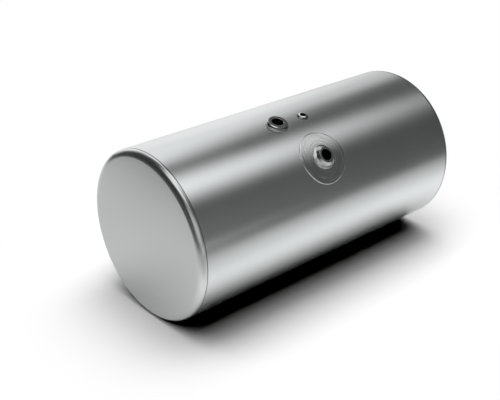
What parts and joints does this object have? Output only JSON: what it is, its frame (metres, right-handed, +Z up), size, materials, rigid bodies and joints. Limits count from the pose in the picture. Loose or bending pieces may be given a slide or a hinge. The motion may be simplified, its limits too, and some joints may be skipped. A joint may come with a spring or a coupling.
{
  "type": "truck fuel tank",
  "caption": "Bare cylindrical aluminium fuel tank with flat pressed heads, a round filler pad and neck, and two open bosses on top.",
  "frame": {"origin": "at the middle of the tank's length, on the shell's lowest line, where a cradle carries it", "axes": "+X along the tank, +Z up, and the filler neck leans towards -Y"},
  "size_m": [1.277, 0.622, 0.6322],
  "materials": {
    "shell_sheet": "rolled sheet, fine lengthwise satin grain",
    "head_sheet": "pressed sheet, matt satin face with a brushed knuckle",
    "baffle_sheet": "pressed sheet, mill finish",
    "turned_pad": "rolled pad with faint concentric turning marks",
    "turned_fitting": "turned on a lathe, fine round tool marks",
    "washer_copper": "annealed copper, dull",
    "plug_steel": "zinc plated steel"
  },
  "bodies": {
    "root": {"shell": "shell_sheet", "left_head": "head_sheet", "right_head": "head_sheet", "left_baffle": "baffle_sheet", "right_baffle": "baffle_sheet", "filler_pad": "turned_pad", "filler_neck": "turned_fitting", "sender_boss": "turned_fitting", "vent_boss": "turned_fitting", "drain_boss": "turned_fitting", "drain_washer": "washer_copper", "drain_plug": "plug_steel"}
  },
  "joints": []
}
